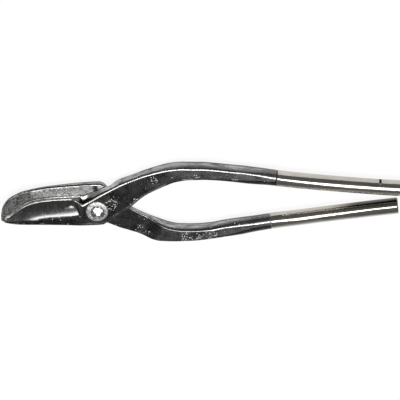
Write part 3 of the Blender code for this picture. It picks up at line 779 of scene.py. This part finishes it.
def grain(tree, scale, detail=4.0, stretch=(1.0, 1.0, 1.0), rough=0.55):
    """Noise over the object's own coordinates, as a 0 to 1 value."""
    place = node(tree, "ShaderNodeTexCoord")
    mapped = node(tree, "ShaderNodeMapping", Vector=place.outputs["Object"],
                  Scale=stretch)
    made = node(tree, "ShaderNodeTexNoise", Vector=mapped.outputs["Vector"], Scale=scale,
                Detail=detail, Roughness=rough)
    return made.outputs["Fac"]


def spread(tree, value, low, high, to_low=0.0, to_high=1.0):
    """Map a range of a value onto another range, clamped."""
    return node(tree, "ShaderNodeMapRange", Value=value, From_Min=low, From_Max=high,
                To_Min=to_low, To_Max=to_high).outputs["Result"]


def blend_value(tree, share, a, b):
    """Mix two numbers or number sockets."""
    return node(tree, "ShaderNodeMix", {"data_type": 'FLOAT'}, i0=share, i2=a,
                i3=b).outputs[0]


def blend_colour(tree, share, a, b):
    """Mix two colours or colour sockets."""
    def full(colour):
        return (*colour, 1.0) if isinstance(colour, tuple) and len(colour) == 3 else colour
    return node(tree, "ShaderNodeMix", {"data_type": 'RGBA'}, i0=share, i6=full(a),
                i7=full(b)).outputs[2]


def mark(tree, name):
    """One of the mesh's own surface marks, 0 to 1."""
    return node(tree, "ShaderNodeAttribute", {"attribute_name": name}).outputs["Fac"]


def math_node(tree, operation, a, b=0.0):
    """One arithmetic step."""
    return node(tree, "ShaderNodeMath", {"operation": operation, "use_clamp": True}, i0=a,
                i1=b).outputs[0]


def wire(tree, shader, colour, rough, relief, strength, depth):
    """Connect colour, roughness and a fine relief, depth in metres, to the shader."""
    tree.links.new(colour, shader.inputs["Base Color"])
    tree.links.new(rough, shader.inputs["Roughness"])
    bump = node(tree, "ShaderNodeBump", Height=relief, Strength=strength, Distance=depth)
    tree.links.new(bump.outputs["Normal"], shader.inputs["Normal"])


FLECK_CELLS = 1150.0               # cells per metre of the pattern that places flecks
FLECK_CHANCE = (0.010, 0.42)       # share of cells that hold one: elsewhere, on pitted spots
FLECK_RIM = (0.48, 0.36)           # a fleck fades in between these distances in its cell
# Each pair is the darker and the lighter tone that a noise pattern mixes.
BLACK_LOW, BLACK_HIGH = (0.026, 0.027, 0.028), (0.108, 0.109, 0.112)
RUBBED_LOW, RUBBED_HIGH = (0.100, 0.101, 0.102), (0.265, 0.265, 0.265)
FLANK_LOW, FLANK_HIGH = (0.100, 0.101, 0.100), (0.440, 0.440, 0.435)
# Darker tone towards the plate's tip: partly stain, partly painted shade.
STAIN_AND_SHADE_LOW, STAIN_AND_SHADE_HIGH = (0.095, 0.097, 0.092), (0.330, 0.330, 0.320)
GROUND_LOW, GROUND_HIGH = (0.26, 0.26, 0.25), (0.74, 0.74, 0.72)
POLISH_LOW, POLISH_HIGH = (0.09, 0.092, 0.09), (0.25, 0.25, 0.245)
BAR_LOW, BAR_HIGH = (0.50, 0.475, 0.435), (0.60, 0.57, 0.53)
# Hand stains, and the painted shade where the grips face each other.
BAR_STAIN, BAR_FACING_SHADE = (0.36, 0.34, 0.28), (0.10, 0.095, 0.085)
RIVET_LOW, RIVET_HIGH = (0.30, 0.30, 0.295), (0.70, 0.70, 0.68)
WASHER_LOW, WASHER_HIGH = (0.30, 0.30, 0.29), (0.88, 0.88, 0.86)
# Near black: painted shade in the forging's recess and in a grip's notch; also the darker groove
# at a grip's seam.
SHADE_AND_SEAM_DARK = (0.012, 0.012, 0.012)
WORN = (0.58, 0.58, 0.57)
FLECK = (0.92, 0.92, 0.90)


def forged_finish():
    """Black forge scale, pitted, worn bright on edges, with ground and polished faces."""
    material, tree, shader = new_material("forged_scale")
    ground, polish, wear, pitted, flank_side, handled, shade_and_seam = (
        mark(tree, key) for key in ("ground", "polish", "wear", "pitted", "flank", "handled",
                                    "shade_and_seam"))
    broad = grain(tree, 120.0, 3.0)
    fine = grain(tree, 1300.0, 5.0, rough=0.7)
    mottled = blend_value(tree, 0.5, broad, fine)
    patch = spread(tree, blend_value(tree, 0.75, broad, fine), 0.41, 0.60)
    black = blend_colour(tree, patch, BLACK_LOW, BLACK_HIGH)
    rubbed = blend_colour(tree, patch, RUBBED_LOW, RUBBED_HIGH)
    rubs = grain(tree, 420.0, 5.0, (0.22, 1.0, 1.0), 0.65)
    filed = blend_colour(tree, spread(tree, rubs, 0.36, 0.62), FLANK_LOW, FLANK_HIGH)
    black = blend_colour(tree, flank_side, blend_colour(tree, handled, black, rubbed), filed)

    cells = node(tree, "ShaderNodeTexVoronoi", {"feature": 'F1'},
                 Vector=node(tree, "ShaderNodeTexCoord").outputs["Object"], Scale=FLECK_CELLS)
    chance = node(tree, "ShaderNodeSeparateColor", i0=cells.outputs["Color"]).outputs[0]
    chosen = math_node(tree, 'LESS_THAN', chance, blend_value(tree, pitted, *FLECK_CHANCE))
    speck = math_node(tree, 'MULTIPLY', chosen,
                      spread(tree, cells.outputs["Distance"], *FLECK_RIM))
    edge_wear = math_node(tree, 'MULTIPLY', wear, spread(tree, fine, 0.24, 0.36))
    colour = blend_colour(tree, edge_wear, black, WORN)
    colour = blend_colour(tree, speck, colour, FLECK)
    cloud = grain(tree, 260.0, 6.0, rough=0.65)
    colour = blend_colour(tree, ground, colour, blend_colour(
        tree, spread(tree, cloud, 0.35, 0.65), GROUND_LOW, GROUND_HIGH))
    streak = grain(tree, 1500.0, 3.0, (1.0, 0.10, 0.10))
    colour = blend_colour(tree, polish, colour, blend_colour(
        tree, blend_value(tree, 0.35, mottled, streak), POLISH_LOW, POLISH_HIGH))
    # Painted shade: the recess beside the bright edge goes near black.
    colour = blend_colour(tree, shade_and_seam, colour, SHADE_AND_SEAM_DARK)

    rough = spread(tree, mottled, 0.35, 0.65, 0.24, 0.40)
    rough = blend_value(tree, speck, rough, 0.6)
    rough = blend_value(tree, ground, rough, 0.40)
    rough = blend_value(tree, polish, rough, spread(tree, streak, 0.3, 0.7, 0.17, 0.30))
    rough = blend_value(tree, shade_and_seam, rough, 0.7)
    tree.links.new(math_node(tree, 'SUBTRACT', 1.0, speck), shader.inputs["Metallic"])

    sink = math_node(tree, 'MULTIPLY', speck, 0.6)
    relief = math_node(tree, 'SUBTRACT', spread(tree, fine, 0.2, 0.8, 0.4, 1.0), sink)
    relief = blend_value(tree, polish, relief, spread(tree, streak, 0.0, 1.0, 0.7, 0.8))
    relief = blend_value(tree, ground, relief, spread(tree, cloud, 0.0, 1.0, 0.6, 0.9))
    wire(tree, shader, colour, rough, relief, 0.8, 0.00014)
    return material


def ground_finish():
    """Ground hard steel, cloudy, darker towards the tip (partly a stain, partly painted shade);
    its back wall keeps the black scale.
    """
    material, tree, shader = new_material("ground_steel")
    black, stain_and_shade = mark(tree, "black"), mark(tree, "stain_and_shade")
    cloud = grain(tree, 260.0, 6.0, rough=0.65)
    fine = grain(tree, 850.0, 4.0, rough=0.75)
    streak = grain(tree, 1500.0, 3.0, (1.0, 0.08, 0.3))
    mottled = blend_value(tree, 0.75, cloud, fine)
    patch = spread(tree, mottled, 0.45, 0.56)
    colour = blend_colour(tree, stain_and_shade, blend_colour(tree, patch, GROUND_LOW, GROUND_HIGH),
                          blend_colour(tree, patch, STAIN_AND_SHADE_LOW, STAIN_AND_SHADE_HIGH))
    colour = blend_colour(tree, black, colour, blend_colour(tree, fine, BLACK_LOW, BLACK_HIGH))
    rough = spread(tree, mottled, 0.35, 0.65, 0.32, 0.48)
    relief = blend_value(tree, 0.5, streak, mottled)
    shader.inputs["Metallic"].default_value = 1.0
    wire(tree, shader, colour, rough, relief, 0.5, 0.00012)
    return material


def bar_finish():
    """Polished bar: faint lengthwise draw marks, hand stains, warm grey, and painted shade where
    it faces the other grip.
    """
    material, tree, shader = new_material("polished_bar")
    shade_and_seam, facing_shade = mark(tree, "shade_and_seam"), mark(tree, "facing_shade")
    stain = grain(tree, 60.0, 4.0)
    drawn = grain(tree, 900.0, 3.0, (0.03, 1.0, 1.0))
    colour = blend_colour(tree, spread(tree, stain, 0.3, 0.7), BAR_LOW, BAR_HIGH)
    blotch = grain(tree, 380.0, 4.0, (0.35, 1.0, 1.0))
    colour = blend_colour(tree, spread(tree, blotch, 0.35, 0.7, 0.0, 0.45), colour, BAR_STAIN)
    # Painted shade where the grips face each other.
    colour = blend_colour(tree, facing_shade, colour, BAR_FACING_SHADE)
    # Painted shade inside the notch, near black; the seam's groove is darkened the same way.
    colour = blend_colour(tree, shade_and_seam, colour, SHADE_AND_SEAM_DARK)
    rough = blend_value(tree, shade_and_seam, blend_value(tree, drawn, 0.12, 0.22), 0.7)
    shader.inputs["Metallic"].default_value = 1.0
    wire(tree, shader, colour, rough, drawn, 0.25, 0.00006)
    return material


def pivot_finish(name, low, high, rough_low, rough_high):
    """Bare, hammered steel of the rivet and washers."""
    material, tree, shader = new_material(name)
    cloud = grain(tree, 700.0, 5.0, rough=0.6)
    colour = blend_colour(tree, spread(tree, cloud, 0.38, 0.62), low, high)
    rough = spread(tree, cloud, 0.3, 0.7, rough_low, rough_high)
    shader.inputs["Metallic"].default_value = 1.0
    wire(tree, shader, colour, rough, cloud, 0.5, 0.00015)
    return material


# ---------------------------------------------------------------- assembly
def place(item, material, body, node_name, slot):
    """Finish a piece with its material, tie it to its body and hide its CAD node; slot is not
    used.
    """
    item.data.materials.clear()
    item.data.materials.append(material)
    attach(item, body)
    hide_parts(node_name)


def make_pieces():
    """Every visible piece: the two halves, then the rivet and its washers."""
    scale = forged_finish()
    ground = ground_finish()
    bar = bar_finish()
    hammered = pivot_finish("hammered_rivet", RIVET_LOW, RIVET_HIGH, 0.20, 0.32)
    turned = pivot_finish("turned_washer", WASHER_LOW, WASHER_HIGH, 0.40, 0.60)
    for half, lever in (("front", FRONT), ("rear", REAR)):
        body = half + "_half"
        place(forging(half + "_forging", lever), scale, body, half + "_lever", "forged_black")
        place(edge_plate(half + "_edge_plate", lever), ground, body, half + "_edge_steel",
              "ground_steel")
        place(grip_bar(half + "_grip_bar", lever), bar, body, half + "_grip", "bright_steel")
    place(rivet("rivet"), hammered, "rear_half", "pivot_rivet", "pivot_steel")
    for half, side in (("front", 1.0), ("rear", -1.0)):
        place(washer(half + "_washer_ring", side), turned, "rear_half", half + "_washer",
              "pivot_steel")


# ---------------------------------------------------------------- studio
TILT = math.radians(30.0)          # camera's angle from the pivot axis, towards +Y
TURN = math.radians(2.3)           # the tool lies turned this much in the picture
CAMERA_DISTANCE = 2.4              # metres
SENSOR_WIDTH = 36.0                # mm
VIEW_WIDTH = 0.300                 # metres across the picture at the pivot
VIEW_DEPTH = 20.0                  # metres, reaches past the floor's far rim
AIM = (77.3, 3.05)                 # picture centre in the lap plane, mm from the pivot axis
BOX_PLACE = (0.075, 0.12, 1.6)     # soft box overhead, metres
BOX_SIZE = (1.2, 0.74)
BOX_RADIANCE = 7.0
CARD_PLACE = (0.075, -1.6, 0.72)   # dim card behind the blades' backs
CARD_SIZE = (3.0, 1.1)
CARD_RADIANCE = 0.22
FLOOR_HALF, FLOOR_RIM = 8.0, 0.6   # half width of the floor and height of its rim, metres
FLOOR_GREY, FLOOR_GLOW = 0.13, 0.90
ROOM_RADIANCE = 0.14


def make_floor():
    """Plain white table, self-lit so that shadows stay pale; its far rim hides the horizon."""
    signs = [(-1.0, -1.0), (1.0, -1.0), (1.0, 1.0), (-1.0, 1.0)]
    level = [(x * FLOOR_HALF, y * FLOOR_HALF, 0.0) for x, y in signs]
    rim = [(x * FLOOR_HALF, y * FLOOR_HALF, FLOOR_RIM) for x, y in signs]
    sides = [(k, (k + 1) % 4, (k + 1) % 4 + 4, k + 4) for k in range(4)]
    mesh = bpy.data.meshes.new("table_top")
    mesh.from_pydata(level + rim, [], [(0, 1, 2, 3)] + sides)
    floor = bpy.data.objects.new("table_top", mesh)
    bpy.context.scene.collection.objects.link(floor)
    material, _, shader = new_material("white_table")
    shader.inputs["Base Color"].default_value = (FLOOR_GREY, FLOOR_GREY, FLOOR_GREY, 1.0)
    shader.inputs["Roughness"].default_value = 0.9
    shader.inputs["Specular IOR Level"].default_value = 0.1
    shader.inputs["Emission Color"].default_value = (1.0, 1.0, 1.0, 1.0)
    shader.inputs["Emission Strength"].default_value = FLOOR_GLOW
    floor.data.materials.append(material)


def panel_light(name, place, size, radiance, pitch):
    """Evenly lit rectangle that shines down, or along +Y when pitched up by 90 degrees."""
    data = bpy.data.lights.new(name, 'AREA')
    data.shape = 'RECTANGLE'
    data.size, data.size_y = size
    data.energy = radiance * math.pi * data.size * data.size_y
    light = bpy.data.objects.new(name, data)
    light.location = place
    light.rotation_euler = (math.radians(pitch), 0.0, 0.0)
    light.visible_camera = False
    bpy.context.scene.collection.objects.link(light)


def make_light():
    """A soft box overhead and a dim upright card on the -Y side, in a dark grey room."""
    panel_light("soft_box", BOX_PLACE, BOX_SIZE, BOX_RADIANCE, 0.0)
    panel_light("grey_card", CARD_PLACE, CARD_SIZE, CARD_RADIANCE, 90.0)
    world = bpy.data.worlds.new("room")
    world.use_nodes = True
    room = world.node_tree.nodes["Background"]
    room.inputs["Color"].default_value = (1.0, 1.0, 1.0, 1.0)
    room.inputs["Strength"].default_value = ROOM_RADIANCE
    bpy.context.scene.world = world


def make_camera():
    """Long lens far away, so that the picture is nearly without perspective."""
    data = bpy.data.cameras.new("camera")
    data.sensor_width = SENSOR_WIDTH
    data.lens = SENSOR_WIDTH * CAMERA_DISTANCE / VIEW_WIDTH
    data.clip_end = VIEW_DEPTH
    camera = bpy.data.objects.new("camera", data)
    right = Vector((math.cos(TURN), -math.sin(TURN), 0.0))
    away = Vector((math.sin(TURN), math.cos(TURN), 0.0))
    back = away * math.sin(TILT) + Vector((0.0, 0.0, math.cos(TILT)))
    up = back.cross(right)
    target = Vector((AIM[0] * MM, AIM[1] * MM, PIVOT_Z * MM))
    camera.matrix_world = Matrix((
        (right.x, up.x, back.x, target.x + back.x * CAMERA_DISTANCE),
        (right.y, up.y, back.y, target.y + back.y * CAMERA_DISTANCE),
        (right.z, up.z, back.z, target.z + back.z * CAMERA_DISTANCE),
        (0.0, 0.0, 0.0, 1.0)))
    bpy.context.scene.collection.objects.link(camera)
    bpy.context.scene.camera = camera
    bpy.context.scene.view_settings.view_transform = 'Standard'


make_pieces()
make_floor()
make_light()
make_camera()
